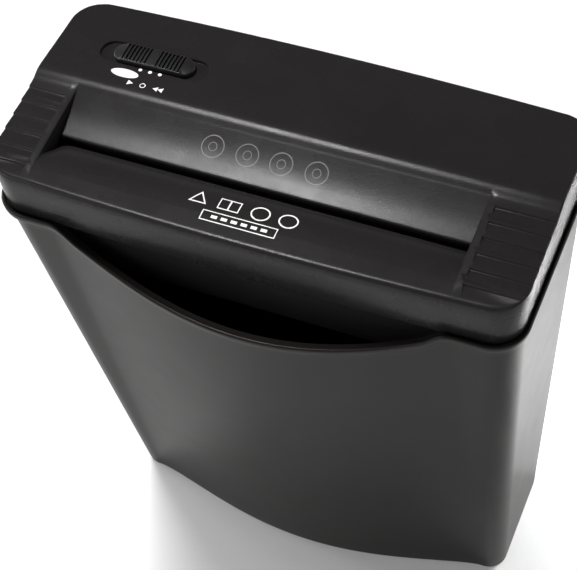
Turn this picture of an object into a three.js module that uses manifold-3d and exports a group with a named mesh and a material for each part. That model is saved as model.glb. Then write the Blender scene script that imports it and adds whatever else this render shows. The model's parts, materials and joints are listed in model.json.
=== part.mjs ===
// A desk-side paper shredder: a cutting head with its drive, resting in the mouth of a tapered waste bin.
// Millimetres, +Z up, +X to the right, front towards -Y, origin on the floor under the middle of the head.

import * as THREE from 'three';
import { mergeVertices } from 'three/addons/utils/BufferGeometryUtils.js';
import Module from 'manifold-3d';

const wasm = await Module();
wasm.setup();

// ---------------------------------------------------------------- driving dimensions

const WALL = 2.4;                 // moulded wall of the head
const GAP = 0.3;                  // clearance between pieces that rest on each other
const RIM_Z = 300;                // ledge of the bin that carries the head
const HEAD_TOP = 338;             // rear deck
const HEAD = { half: 140, front: -62.6, back: 57.8, radius: 16, bow: 3.7, lowBow: 1.9, draft: 1.8, full: 326 };
const THROAT = { left: -114.7, right: 105.3, ridge: 3, slotBack: -27, slotFront: -32, front: -57 };
const RIBS = { count: 6, first: -8, pitch: 9.2, height: 1.5, inset: 4 };
const BIN = { wall: 2.5, bow: 19.5, bowHalf: 108, scoop: 26, scoopHalf: 105, lip: 3, flange: 2.6, band: 4.6 };
const BIN_TOP = { half: 138, front: -62.5, back: 60.8, radius: 16 };
const BIN_FOOT = { half: 120.6, front: -17.5, back: 57.5, radius: 11 };
const CHASSIS = { half: 132.2, front: -57, back: 54.6, bottom: 262, wall: 2, radius: 15, lean: 3 };

const CUT = { z: 287, nip: -28, spacing: 24.6, disc: 13.5, hub: 8.6, shaft: 4.5, width: 6.4, pitch: 7, pairs: 15 };
const REAR_Y = CUT.nip + CUT.spacing / 2;
const FRONT_Y = CUT.nip - CUT.spacing / 2;
const PLATE = { left: -118.9, right: 107.5, thick: 2 };
const PLANE = [111, 116.7, 122.2];    // inner faces of the three planes of gears, from the cutters outwards
const FACE = 4.4;                     // width of a gear
const GEAR_PLATE_X = 128;

const TEETH = { sync: 17, final: 40, slowPinion: 12, slowWheel: 36, midPinion: 12, fastWheel: 40, motor: 10 };
const MODULE = { sync: CUT.spacing / TEETH.sync, slow: 1, mid: 1, fast: 0.8 };
const away = (from, distance, degrees) => ({
  y: from.y + distance * Math.cos(degrees * Math.PI / 180),
  z: from.z + distance * Math.sin(degrees * Math.PI / 180),
});
const centres = (a, b, module) => (a + b) * module / 2;
const REAR = { y: REAR_Y, z: CUT.z };
const FRONT = { y: FRONT_Y, z: CUT.z };
const SLOW = away(REAR, centres(TEETH.final, TEETH.slowPinion, MODULE.slow), 10);
const FAST = away(SLOW, centres(TEETH.slowWheel, TEETH.midPinion, MODULE.mid), -10);
const MOTOR = away(FAST, centres(TEETH.fastWheel, TEETH.motor, MODULE.fast), 100);

// ---------------------------------------------------------------- solids

// A closed solid made from any closed geometry: shared vertices merged, faces pointing out.
function solid(geometry) {
  const bare = geometry.clone();
  for (const name of ['normal', 'uv']) bare.deleteAttribute(name);
  const merged = mergeVertices(bare, 1e-4);
  const p = merged.attributes.position.array;
  const faces = [];
  for (let i = 0; i < merged.index.count; i += 3) {
    const [a, b, c] = merged.index.array.slice(i, i + 3);
    if (a !== b && b !== c && c !== a) faces.push([a, b, c]);
  }
  let volume = 0;
  const at = (i) => new THREE.Vector3(p[3 * i], p[3 * i + 1], p[3 * i + 2]);
  for (const [a, b, c] of faces) volume += at(a).dot(at(b).cross(at(c)));
  const turned = faces.map(([a, b, c]) => (volume < 0 ? [a, c, b] : [a, b, c]));
  const triVerts = new Uint32Array(turned.flat());
  return new wasm.Manifold(new wasm.Mesh({ numProp: 3, vertProperties: new Float32Array(p), triVerts }));
}

// The geometry of a solid, ready for a mesh.
function geometryOf(body) {
  const mesh = body.getMesh();
  const geometry = new THREE.BufferGeometry();
  geometry.setAttribute('position', new THREE.BufferAttribute(new Float32Array(mesh.vertProperties), 3));
  geometry.setIndex(new THREE.BufferAttribute(new Uint32Array(mesh.triVerts), 1));
  const flat = geometry.toNonIndexed();
  flat.computeVertexNormals();
  return flat;
}

const join = (...bodies) => bodies.reduce((a, b) => a.add(b));
const cut = (body, ...tools) => tools.reduce((a, b) => a.subtract(b), body);

function extrude(points, depth, basis) {
  const shape = new THREE.Shape(points.map(([u, v]) => new THREE.Vector2(u, v)));
  const geometry = new THREE.ExtrudeGeometry(shape, { depth, bevelEnabled: false });
  return geometry.applyMatrix4(basis);
}

// Prisms along the three axes: the outline is given in XY, YZ or XZ.
const X = new THREE.Vector3(1, 0, 0);
const Y = new THREE.Vector3(0, 1, 0);
const Z = new THREE.Vector3(0, 0, 1);
const alongZ = (points, z0, z1) => solid(
  extrude(points, z1 - z0, new THREE.Matrix4().setPosition(0, 0, z0)));
const alongX = (points, x0, x1) => solid(
  extrude(points, x1 - x0, new THREE.Matrix4().makeBasis(Y, Z, X).setPosition(x0, 0, 0)));
const alongY = (points, y0, y1) => solid(
  extrude(points, y1 - y0, new THREE.Matrix4().makeBasis(X, Z, Y.clone().negate()).setPosition(0, y1, 0)));

function box(x0, x1, y0, y1, z0, z1) {
  const geometry = new THREE.BoxGeometry(x1 - x0, y1 - y0, z1 - z0);
  return solid(geometry.translate((x0 + x1) / 2, (y0 + y1) / 2, (z0 + z1) / 2));
}

// A round bar along X, centred on a point of the YZ plane.
function barX(centre, radius, x0, x1, sides = 16) {
  const geometry = new THREE.CylinderGeometry(radius, radius, x1 - x0, sides);
  return solid(geometry.rotateZ(-Math.PI / 2).translate((x0 + x1) / 2, centre.y, centre.z));
}

function barZ(x, y, radius, z0, z1, sides = 14) {
  const geometry = new THREE.CylinderGeometry(radius, radius, z1 - z0, sides);
  return solid(geometry.rotateX(Math.PI / 2).translate(x, y, (z0 + z1) / 2));
}

// A turned piece on an axis along X. The profile is a list of [radius, x] that starts and ends on the axis.
function turned(centre, profile, sides) {
  const geometry = new THREE.LatheGeometry(profile.map(([r, x]) => new THREE.Vector2(r, x)), sides);
  return solid(geometry.rotateZ(-Math.PI / 2).translate(0, centre.y, centre.z));
}

// A solid through a stack of outlines that all have the same number of points.
function loft(rings) {
  const n = rings[0].length;
  const points = rings.flat(1);
  const index = [];
  for (let k = 0; k + 1 < rings.length; k++) {
    for (let i = 0; i < n; i++) {
      const [a, b, c, d] = [k * n + i, k * n + (i + 1) % n, (k + 1) * n + i, (k + 1) * n + (i + 1) % n];
      index.push(a, b, d, a, d, c);
    }
  }
  const flat = (ring) => THREE.ShapeUtils.triangulateShape(ring.map(([x, y]) => new THREE.Vector2(x, y)), []);
  const top = (rings.length - 1) * n;
  for (const [a, b, c] of flat(rings[0])) index.push(a, c, b);
  for (const [a, b, c] of flat(rings.at(-1))) index.push(top + a, top + b, top + c);
  const geometry = new THREE.BufferGeometry();
  geometry.setAttribute('position', new THREE.Float32BufferAttribute(points.flat(), 3));
  geometry.setIndex(index);
  return solid(geometry);
}

// ---------------------------------------------------------------- outlines

const CORNER_STEPS = 5;
const EDGE_STEPS = 12;

// A rounded rectangle seen from above, counter-clockwise from the front left corner, with bowed long edges.
function outline(z, { half, front, back, radius }, inset, frontBow, backBow) {
  const points = [];
  const r = radius - inset;
  const [x1, y0, y1] = [half - inset, front + inset, back - inset];
  const corner = (cx, cy, from) => {
    for (let i = 0; i <= CORNER_STEPS; i++) {
      const t = from + (i / CORNER_STEPS) * Math.PI / 2;
      points.push([cx + r * Math.cos(t), cy + r * Math.sin(t)]);
    }
  };
  const edge = (xa, xb, y) => {
    for (let i = 1; i < EDGE_STEPS; i++) points.push([xa + (xb - xa) * i / EDGE_STEPS, y]);
  };
  corner(-x1 + r, y0 + r, Math.PI);
  edge(-x1 + r, x1 - r, y0);
  corner(x1 - r, y0 + r, 1.5 * Math.PI);
  corner(x1 - r, y1 - r, 0);
  edge(x1 - r, -x1 + r, y1);
  corner(-x1 + r, y1 - r, 0.5 * Math.PI);
  const middle = (y0 + y1) / 2;
  return points.map(([x, y]) => [x, y < middle ? y - frontBow(x) : y + backBow(x), z]);
}

// How far the front of the bin stands forward: a wide bulge that runs out in an ogee before each corner.
const bulge = (x) => (Math.abs(x) >= BIN.bowHalf ? 0 : BIN.bow * (1 - (x / BIN.bowHalf) ** 2) ** 1.4);
const arch = (rise, half) => (x) => rise * Math.max(0, 1 - (x / half) ** 2);

// The head is straighter in front and behind at its foot than at its top.
function headRing(z, inset) {
  const rise = Math.min(1, Math.max(0, (z - RIM_Z) / (HEAD.full - RIM_Z)));
  const bow = arch(HEAD.lowBow + (HEAD.bow - HEAD.lowBow) * rise, HEAD.half);
  return outline(z, HEAD, inset, bow, bow);
}

function binRing(z, inset) {
  const t = z / RIM_Z;
  const at = (key) => BIN_FOOT[key] + (BIN_TOP[key] - BIN_FOOT[key]) * t;
  const size = { half: at('half'), front: at('front'), back: at('back'), radius: at('radius') };
  return outline(z, size, inset, bulge, arch(2, 200));
}

// ---------------------------------------------------------------- the bin

// The rib inside the bin that the interlock plunger stands over.
function interlockRib() {
  const { x, y } = PLUNGER;
  return alongY([[x - 4, RIB_TOP], [137, RIB_TOP], [135, RIB_TOP - 30], [133, RIB_TOP - 30]], y - 3, y + 3);
}

// The edge of the front opening, from left to right, lowered by a given amount.
function scoopEdge(lower) {
  const steps = 24;
  return Array.from({ length: steps + 1 }, (_, i) => {
    const x = BIN.scoopHalf * (2 * i / steps - 1);
    return [x, RIM_Z + 0.5 - lower - BIN.scoop * (1 - (x / BIN.scoopHalf) ** 2) ** 0.8];
  });
}

function bin() {
  const base = 3;
  const ledge = 1.3;
  const top = RIM_Z + BIN.lip;
  const ledgeBottom = RIM_Z - 4;
  const side = BIN_TOP.half + 10;
  const wall = loft([binRing(0, 2.5), binRing(2.5, 0), binRing(top, 0)]);
  const proud = loft([binRing(RIM_Z - 40, -BIN.flange), binRing(top, -BIN.flange)]);
  const frontBand = alongY([[-side, top], [-side, top - BIN.band], ...scoopEdge(BIN.band), [side, top - BIN.band],
    [side, top]], -120, -50);
  const restBand = box(-side, side, -50, 100, top - BIN.band, top);
  const outer = join(wall, proud.intersect(join(frontBand, restBand)));
  const inner = loft([binRing(base, BIN.wall + 2), binRing(base + 4, BIN.wall), binRing(ledgeBottom - 5, BIN.wall),
    binRing(ledgeBottom, BIN.wall + ledge), binRing(top + 1, BIN.wall + ledge)]);
  const seat = loft([binRing(RIM_Z, 2.1 - BIN.flange), binRing(top + 1, 2.1 - BIN.flange)]);
  const opening = alongY([...scoopEdge(0), [BIN.scoopHalf, top + 20], [-BIN.scoopHalf, top + 20]], -120, -50);
  return cut(outer, inner, seat, opening).add(interlockRib().intersect(wall));
}

// ---------------------------------------------------------------- the head's cover

const RIDGE_Z = HEAD_TOP + 0.4;
// Heights of the top surface, front to back, as [y, z].
const NOSE = [[-67.5, 323.5], [-66.6, 327], [-64.6, 329.4], [-61, 330.9]];
const CHEEK_TOP = [[-67.5, 300], ...NOSE, [-54, 332.3], [-8, 337.6], [THROAT.ridge, RIDGE_Z], [10, HEAD_TOP],
  [50, 336.4], [56, 335.4], [59.5, 333], [61.8, 329], [62.5, 324], [62.5, 300]];
const TROUGH_FLOOR = [...NOSE, [-54, 332.2], [-48, 332.4], [-42, 331.6], [-37, 330.2], [THROAT.slotFront, 328],
  [THROAT.slotBack, 327], [-20, 329.2], [-10, 333], [-2, 336.6], [THROAT.ridge, RIDGE_Z]];
const lowered = (points, by) => points.map(([y, z]) => [y, z - by]);

// Steps across a cheek: each edge drops by the rib height, then the surface climbs back to the slope.
const cheekSlope = (y) => 337.6 + (y + 8) * (337.6 - 332.3) / 46;

function cheekRibs(x0, x1) {
  const notches = [];
  for (let i = 0; i < RIBS.count; i++) {
    const edge = RIBS.first - i * RIBS.pitch;
    const next = edge - RIBS.pitch + 0.8;
    notches.push(alongX([[next, cheekSlope(next) + 5], [next, cheekSlope(next)],
      [edge, cheekSlope(edge) - RIBS.height], [edge, cheekSlope(edge) + 5]], x0, x1));
  }
  return notches;
}

function headCover() {
  const inside = (z, extra = 0) => headRing(z, WALL + extra);
  const outer = loft([headRing(RIM_Z + GAP, HEAD.draft), headRing(HEAD.full, 0), headRing(HEAD_TOP + 3, 0)]);
  const hollow = loft([inside(RIM_Z - 1, HEAD.draft), inside(HEAD.full), inside(HEAD_TOP + 3)]);
  const ceiling = alongX([[-70, 290], ...lowered(CHEEK_TOP.slice(1, -1), WALL).map(([y, z]) => [y * 0.97, z]),
    [70, 290]], -150, 150);
  const trough = alongX([[-70, NOSE[0][1]], ...TROUGH_FLOOR, [THROAT.ridge, 350], [-70, 350]], THROAT.left, THROAT.right);
  const troughShell = alongX([[-80, NOSE[0][1] - WALL], ...lowered(TROUGH_FLOOR, WALL), [THROAT.ridge + 3, RIDGE_Z - WALL],
    [THROAT.ridge + 3, 350], [-80, 350]], THROAT.left - WALL, THROAT.right + WALL);
  const skin = outer.intersect(alongX([...CHEEK_TOP, [0, 299]], -150, 150));
  const slot = box(THROAT.left + 1, THROAT.right - 1, THROAT.slotFront, THROAT.slotBack, 310, 340);
  const shell = cut(skin, hollow.intersect(ceiling).subtract(troughShell), trough, slot);
  const ribs = [...cheekRibs(-160, THROAT.left - RIBS.inset), ...cheekRibs(THROAT.right + RIBS.inset, 160)];
  const recess = alongZ(stadium(SWITCH.halfRecess, 7.6), SWITCH.floor, 345);
  const stemSlot = box(SWITCH.x - 11, SWITCH.x + 11, SWITCH.y - 2.2, SWITCH.y + 2.2, 325, 345);
  const inlet = alongY(ring(INLET.x, INLET.z, INLET.bore, 16), 50, 70);
  const bosses = SCREWS.map(([x, y]) => cut(barZ(x, y, 3.6, RIM_Z + 4, y < 0 ? 330 : 335.5),
    barZ(x, y, 1.3, RIM_Z - 1, 326)));
  return join(cut(shell, ...ribs, recess, stemSlot, inlet), ...bosses);
}

// A slot-shaped outline round the mode switch.
function stadium(half, radius) {
  const still = () => 0;
  const size = { half, front: -radius, back: radius, radius: radius - 0.2 };
  return outline(0, size, 0, still, still).map(([u, v]) => [u + SWITCH.x, v + SWITCH.y]);
}

const ring = (cx, cy, radius, sides) => Array.from({ length: sides }, (_, i) => {
  const t = 2 * Math.PI * i / sides;
  return [cx + radius * Math.cos(t), cy + radius * Math.sin(t)];
});

// ---------------------------------------------------------------- the head's base and frame

const SWITCH = { x: -84.5, y: 26.5, halfRecess: 30.5, halfKnob: 22.5, floor: HEAD_TOP - 2.4 };
const INLET = { x: -96, z: 312, bore: 5.2 };
const SCREWS = [[-125, -48.7], [-125, 47], [88, 50], [-30, 50]];
const OUTLET = { left: -112, right: 103, front: -43, back: -13 };
const LEVER = { x: -4.7, y: -20.4, z: 318.5 };
const PLUNGER = { x: 122, y: 44, radius: 2.2, tip: 255 };
const RIB_TOP = PLUNGER.tip - GAP;

function chassisBase() {
  const top = RIM_Z - 1;
  const size = (z, inset) => ({
    half: CHASSIS.half - inset, front: CHASSIS.front + CHASSIS.lean * (top - z) / (top - CHASSIS.bottom) + inset,
    back: CHASSIS.back - inset, radius: CHASSIS.radius - inset,
  });
  const ringAt = (z, inset) => outline(z, size(z, inset), 0, arch(0, 1), arch(0, 1));
  const outer = loft([ringAt(CHASSIS.bottom, 3), ringAt(CHASSIS.bottom + 3, 0), ringAt(top, 0)]);
  const inner = loft([ringAt(CHASSIS.bottom + CHASSIS.wall, 3 + CHASSIS.wall), ringAt(CHASSIS.bottom + 6, CHASSIS.wall),
    ringAt(top + 1, CHASSIS.wall)]);
  const outlet = box(OUTLET.left, OUTLET.right, OUTLET.front, OUTLET.back, CHASSIS.bottom - 1, CHASSIS.bottom + 5);
  const vents = [0, 1, 2, 3, 4, 5].map((i) => box(40 + 7 * i, 43 + 7 * i, 14, 44, CHASSIS.bottom - 1,
    CHASSIS.bottom + 5));
  const posts = SCREWS.map(([x, y]) => barZ(x, y, 4.2, CHASSIS.bottom + 1, RIM_Z + 3));
  const bores = SCREWS.flatMap(([x, y]) => [barZ(x, y, 1.9, CHASSIS.bottom - 1, RIM_Z + 9),
    barZ(x, y, 3.1, CHASSIS.bottom - 1, RIM_Z - 4)]);
  const guide = barZ(PLUNGER.x, PLUNGER.y, PLUNGER.radius + 0.3, CHASSIS.bottom - 1, RIM_Z);
  return cut(join(cut(outer, inner, outlet, ...vents), ...posts), ...bores, guide);
}

// A side plate: pressed steel with round holes for the bushes and whatever passes through it.
function sidePlate(x, holes) {
  const z0 = CHASSIS.bottom + CHASSIS.wall + 2;
  const profile = [[-52, z0 + 5], [-49, z0], [50, z0], [50, 316], [4, 316], [-4, 313], [-52, 313]];
  return cut(alongX(profile, x, x + PLATE.thick), ...holes.map(([c, r]) => barX(c, r, x - 5, x + 9, 20)));
}

const BUSH = { flange: 8.5, body: 6.7, bore: CUT.shaft + 0.15 };
// A bush pressed into a plate, its flange on the side that side points to.
function bush(centre, x, side) {
  const inner = x - GAP;
  const outer = x + PLATE.thick + GAP;
  const flange = side < 0 ? barX(centre, BUSH.flange, inner - 1.6, inner) : barX(centre, BUSH.flange, outer,
    outer + 1.6);
  const reach = side < 0 ? [inner - 1.6, outer] : [inner, outer + 1.6];
  return cut(join(barX(centre, BUSH.body, ...reach), flange), barX(centre, BUSH.bore, reach[0] - 1, reach[1] + 1));
}

// ---------------------------------------------------------------- the cutters

// A cutter shaft turned in one piece: journals at both ends, discs spaced by hubs.
function cutterShaft(centre, shift, left, right) {
  const first = THROAT.left + 4.6 + shift;
  const profile = [[0, left], [CUT.shaft, left]];
  profile.push([CUT.shaft, first - 2], [CUT.hub, first - 2]);
  for (let i = 0; i < CUT.pairs; i++) {
    const x = first + i * 2 * CUT.pitch;
    profile.push([CUT.hub, x], [CUT.disc, x], [CUT.disc, x + CUT.width], [CUT.hub, x + CUT.width]);
  }
  const last = first + (CUT.pairs - 1) * 2 * CUT.pitch + CUT.width + 2;
  profile.push([CUT.hub, last], [CUT.shaft, last], [CUT.shaft, right], [0, right]);
  return turned(centre, profile, 16);
}

// A stripper comb: a bar under a shaft with one finger up in each space between its discs.
function stripperComb(centre, shift, side) {
  const first = THROAT.left + 4.6 + shift + CUT.width;
  const [x0, x1] = [PLATE.left + PLATE.thick + 0.5, PLATE.right - 0.5];
  const [near, far] = [centre.y + side * 4, centre.y + side * 10];
  const [y0, y1] = [Math.min(near, far), Math.max(near, far)];
  const bar = box(x0, x1, y0, y1, CUT.z - 20, CUT.z - 16);
  const fingers = [];
  for (let i = 0; i + 1 < CUT.pairs; i++) {
    const x = first + i * 2 * CUT.pitch + 1.6;
    fingers.push(box(x, x + 2 * CUT.pitch - CUT.width - 3.2, y0 + 1.5, y1 - 1.5, CUT.z - 17, CUT.z - CUT.hub - 0.8));
  }
  return join(bar, ...fingers);
}

// A paper guide: a strip of sheet from under the throat lip down to the cutters.
function paperGuide(yTop, yBottom, window) {
  const thick = 1;
  const strip = alongX([[yBottom - thick / 2, 301.5], [yBottom + thick / 2, 301.5], [yTop + thick / 2, 322.6],
    [yTop - thick / 2, 322.6]], THROAT.left + 0.4, THROAT.right - 0.4);
  return cut(strip, window);
}

// ---------------------------------------------------------------- the gears

// A spur gear's outline. The teeth are straight-flanked and thin enough to run free; phase turns them.
function gearOutline(centre, teeth, module, phase) {
  const pitch = teeth * module / 2;
  const step = 2 * Math.PI / teeth;
  const form = [[pitch - 1.2 * module, 0.3], [pitch + 0.85 * module, 0.09]];
  const points = [];
  for (let i = 0; i < teeth; i++) {
    const middle = (i + phase) * step;
    for (const [r, half] of form) points.push([r, middle - half * step]);
    for (const [r, half] of [...form].reverse()) points.push([r, middle + half * step]);
  }
  return points.map(([r, t]) => [centre.y + r * Math.cos(t), centre.z + r * Math.sin(t)]);
}

function gear(centre, teeth, module, phase, plane, width = FACE) {
  return alongX(gearOutline(centre, teeth, module, phase), PLANE[plane], PLANE[plane] + width);
}

// The phase that puts a gear in mesh with a driven one: a gap faces a tooth on the line of centres.
function meshPhase(centre, teeth, other, otherTeeth, otherPhase) {
  const line = Math.atan2(centre.z - other.z, centre.y - other.y);
  const otherTurn = line / (2 * Math.PI / otherTeeth) - otherPhase;
  const back = (line + Math.PI) / (2 * Math.PI / teeth);
  return back + otherTurn + 0.5;
}

const PHASE = { rear: 0, final: 0 };
PHASE.front = meshPhase(FRONT, TEETH.sync, REAR, TEETH.sync, PHASE.rear);
PHASE.slowPinion = meshPhase(SLOW, TEETH.slowPinion, REAR, TEETH.final, PHASE.final);
PHASE.slowWheel = 0;
PHASE.midPinion = meshPhase(FAST, TEETH.midPinion, SLOW, TEETH.slowWheel, PHASE.slowWheel);
PHASE.fastWheel = 0;
PHASE.motor = meshPhase(MOTOR, TEETH.motor, FAST, TEETH.fastWheel, PHASE.fastWheel);

const SHAFT_BORE = CUT.shaft + 0.3;
const PIN = 2;

function wheelOnShaft(centre, teeth, module, phase, plane) {
  return cut(gear(centre, teeth, module, phase, plane), barX(centre, SHAFT_BORE, 100, 140));
}

// Two gears moulded in one piece that turns on a fixed pin: the large one inboard.
function compoundGear(centre, large, small) {
  const wheel = gear(centre, large.teeth, large.module, large.phase, large.plane);
  const pinion = gear(centre, small.teeth, small.module, small.phase, small.plane);
  const neck = barX(centre, small.teeth * small.module / 2 - 1.4, PLANE[large.plane] + 1, PLANE[small.plane] + 1, 20);
  return cut(join(wheel, pinion, neck), barX(centre, PIN + 0.12, 90, 150));
}

function gearPlate() {
  const profile = [[-30, 270], [38, 270], [38, 314], [10, 322], [-6, 322], [-12, 312], [-30, 312]];
  return cut(alongX(profile, GEAR_PLATE_X, GEAR_PLATE_X + 1.4), barX(REAR, CUT.shaft + 0.3, 120, 140),
    barX(SLOW, PIN + GAP, 120, 140), barX(FAST, PIN + GAP, 120, 140));
}

// ---------------------------------------------------------------- the motor

const STATOR = { x0: 60, x1: 84, half: 17.6, bore: 12.4 };

function statorCore() {
  const h = STATOR.half;
  const c = 7;
  const ringPoints = [[-h, -h + c], [-h + c, -h], [h - c, -h], [h, -h + c], [h, h - c], [h - c, h], [-h + c, h],
    [-h, h - c]].map(([y, z]) => [MOTOR.y + y, MOTOR.z + z]);
  const windows = [-1, 1].map((s) => box(STATOR.x0 - 1, STATOR.x1 + 1, MOTOR.y + s * 13.4 - 2.2,
    MOTOR.y + s * 13.4 + 2.2, MOTOR.z - 8, MOTOR.z + 8));
  return cut(alongX(ringPoints, STATOR.x0, STATOR.x1), barX(MOTOR, STATOR.bore, 50, 95, 24), ...windows);
}

// A field coil: its legs run through the core's windows, its ends arch over or under the rotor.
function fieldCoil(side) {
  const steps = 8;
  const row = (r) => Array.from({ length: steps + 1 }, (_, i) => {
    const t = side * Math.PI / 2 + (i / steps - 0.5) * 2.6;
    return [MOTOR.y + r * Math.cos(t), MOTOR.z + r * Math.sin(t)];
  });
  const section = [...row(12.9), ...row(16.4).reverse()];
  const leg = (s) => box(STATOR.x0 - 5.3, STATOR.x1 + 5.3, MOTOR.y + s * 13.6 - 1.3, MOTOR.y + s * 13.6 + 1.3,
    MOTOR.z + side * 3.6 - 3.1, MOTOR.z + side * 3.6 + 3.1);
  const end = (x) => alongX(section, x, x + 5);
  return join(end(STATOR.x0 - GAP - 5), end(STATOR.x1 + GAP), leg(-1), leg(1));
}

function endBracket(x, reach) {
  const bar = alongX([[MOTOR.y - 16, MOTOR.z - 5], [MOTOR.y + 16, MOTOR.z - 5], [MOTOR.y + 16, MOTOR.z + 5],
    [MOTOR.y - 16, MOTOR.z + 5]], x, x + 2);
  const boss = barX(MOTOR, 5.4, Math.min(x, reach), Math.max(x + 2, reach));
  return cut(join(bar, boss), barX(MOTOR, 2.2, x - 20, x + 22));
}

function motorRotor() {
  const profile = [[0, 24], [2, 24], [2, 44], [5.5, 44], [5.5, 52], [3, 52], [3, 58], [11.8, 58], [11.8, 86],
    [3, 86], [3, 90], [2, 90], [2, PLANE[0] - 0.6], [0, PLANE[0] - 0.6]];
  return turned(MOTOR, profile, 20);
}

function motorPinion() {
  return gear(MOTOR, TEETH.motor, MODULE.fast, PHASE.motor, 0);
}

function fan() {
  const blades = [];
  for (let i = 0; i < 9; i++) {
    const t = 2 * Math.PI * i / 9;
    const [c, s] = [Math.cos(t), Math.sin(t)];
    const corners = [[4, -0.7], [14.5, -0.7], [14.5, 0.7], [4, 0.7]];
    blades.push(alongX(corners.map(([a, b]) => [MOTOR.y + a * c - b * s, MOTOR.z + a * s + b * c]), 28, 35));
  }
  return cut(join(barX(MOTOR, 15, 26.4, 28.2, 24), barX(MOTOR, 5, 27, 35), ...blades), barX(MOTOR, 2.3, 20, 40));
}

// ---------------------------------------------------------------- controls

function modeKnob() {
  const { x, y, halfKnob } = SWITCH;
  const floor = SWITCH.floor + GAP;
  const grooves = [];
  for (let i = -6; i <= 6; i++) {
    if (i === 0) continue;
    const at = x + i * 2.6 - 0.5;
    grooves.push(box(at, at + 1, y - 8, y + 8, HEAD_TOP + 0.6, 345));
  }
  const cap = cut(alongZ(stadium(halfKnob, 6), floor, HEAD_TOP + 1.8), ...grooves);
  const stem = box(x - 3, x + 3, y - 1.8, y + 1.8, 329.6, floor + 0.5);
  return join(cap, stem);
}

function switchBody() {
  const { x, y } = SWITCH;
  const wall = box(x - 19, x + 19, y - 7, y + 7, 316, 332);
  return cut(wall, box(x - 11.5, x + 11.5, y - 3, y + 3, 326, 333));
}

function startLever() {
  const tip = [[LEVER.y + 2, LEVER.z + 1.5], [LEVER.y - 8.8, LEVER.z - 7.2], [LEVER.y - 9.8, LEVER.z - 8.6],
    [LEVER.y - 7.6, LEVER.z - 8.8], [LEVER.y + 2.6, LEVER.z - 1.5]];
  const arm = alongX(tip, LEVER.x - 1.5, LEVER.x + 1.5);
  const tail = alongX([[LEVER.y, LEVER.z + 1.2], [LEVER.y, LEVER.z - 1.2], [LEVER.y + 9, LEVER.z - 1.6],
    [LEVER.y + 9, LEVER.z + 0.2]], LEVER.x - 1.5, LEVER.x + 1.5);
  const hub = barX(LEVER, 2.6, LEVER.x - 3, LEVER.x + 3);
  return cut(join(arm, tail, hub), barX(LEVER, 1.15, -20, 20));
}

function leverBracket() {
  const { x, y, z } = LEVER;
  const ear = (s) => box(x + s * 4.6 - 0.8, x + s * 4.6 + 0.8, y - 2.4, y + 13, z - 3, z + 3.4);
  const bridge = box(x - 5.4, x + 5.4, y + 11, y + 13, z - 3, z + 9);
  return cut(join(ear(-1), ear(1), bridge), barX(LEVER, 1.25, -20, 20));
}

const paperSwitch = () => box(LEVER.x - 2.6, LEVER.x + 2.6, LEVER.y + 5, LEVER.y + 10.6, LEVER.z + 4.6,
  LEVER.z + 9.2);

function interlockPlunger() {
  const { x, y, radius } = PLUNGER;
  return join(barZ(x, y, radius, PLUNGER.tip, PLUNGER.tip + 37), barZ(x, y, radius + 1.6, 266, 268));
}

function controlBoard() {
  const board = box(-112, -56, -6 + 16, 46, 296, 297.6);
  const parts = [box(-108, -96, 16, 26, 297.4, 309), box(-90, -80, 14, 30, 297.4, 306),
    barZ(-72, 22, 5, 297.4, 312), barZ(-104, 38, 3.4, 297.4, 304), box(-92, -78, 36, 43, 297.4, 303),
    box(-70, -60, 34, 44, 297.4, 302)];
  return join(board, ...parts);
}

// A lead: a round tube through a few points.
function lead(points, radius) {
  const path = new THREE.CatmullRomCurve3(points.map((p) => new THREE.Vector3(...p)));
  const shape = new THREE.Shape(ring(0, 0, radius, 6).map(([u, v]) => new THREE.Vector2(u, v)));
  return solid(new THREE.ExtrudeGeometry(shape, { steps: 16, bevelEnabled: false, extrudePath: path }));
}

function screw([x, y]) {
  const seat = RIM_Z - 4;
  return join(barZ(x, y, 2.8, seat - 2.6, seat - GAP), barZ(x, y, 1.1, seat - 1, seat + 22, 10));
}

function inletBush() {
  const y = 58;
  const { x, z } = INLET;
  const body = alongY(ring(x, z, INLET.bore - 0.4, 16), y - 4, y + 3);
  const flange = alongY(ring(x, z, INLET.bore + 2, 16), y - 7, y - 4);
  return cut(join(body, flange), alongY(ring(x, z, 3.4, 12), y - 10, y + 8));
}

// ---------------------------------------------------------------- assembly

const MATERIALS = {
  shell: { color: 0x17181a, roughness: 0.62, metalness: 0 },
  bin: { color: 0x141517, roughness: 0.4, metalness: 0 },
  knob: { color: 0x1f2022, roughness: 0.5, metalness: 0 },
  steel: { color: 0x8d9094, roughness: 0.35, metalness: 0.9 },
  cutter: { color: 0x6d7075, roughness: 0.3, metalness: 0.95 },
  gear: { color: 0xd8d4c6, roughness: 0.5, metalness: 0 },
  bronze: { color: 0xa97c45, roughness: 0.4, metalness: 0.8 },
  copper: { color: 0xb5652f, roughness: 0.35, metalness: 0.8 },
  core: { color: 0x55585c, roughness: 0.5, metalness: 0.8 },
  board: { color: 0x2f5a3a, roughness: 0.5, metalness: 0 },
  dark: { color: 0x101010, roughness: 0.6, metalness: 0 },
  lead: { color: 0x7a1f1c, roughness: 0.5, metalness: 0 },
};

const group = new THREE.Group();

function add(name, body, look) {
  const mesh = new THREE.Mesh(geometryOf(body), new THREE.MeshStandardMaterial(MATERIALS[look]));
  mesh.name = name;
  group.add(mesh);
}

function addHousing() {
  add('bin', bin(), 'bin');
  add('head_cover', headCover(), 'shell');
  add('head_base', chassisBase(), 'shell');
  add('cord_inlet_bush', inletBush(), 'dark');
  SCREWS.forEach((place, i) => add(`cover_screw_${i + 1}`, screw(place), 'steel'));
}

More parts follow.
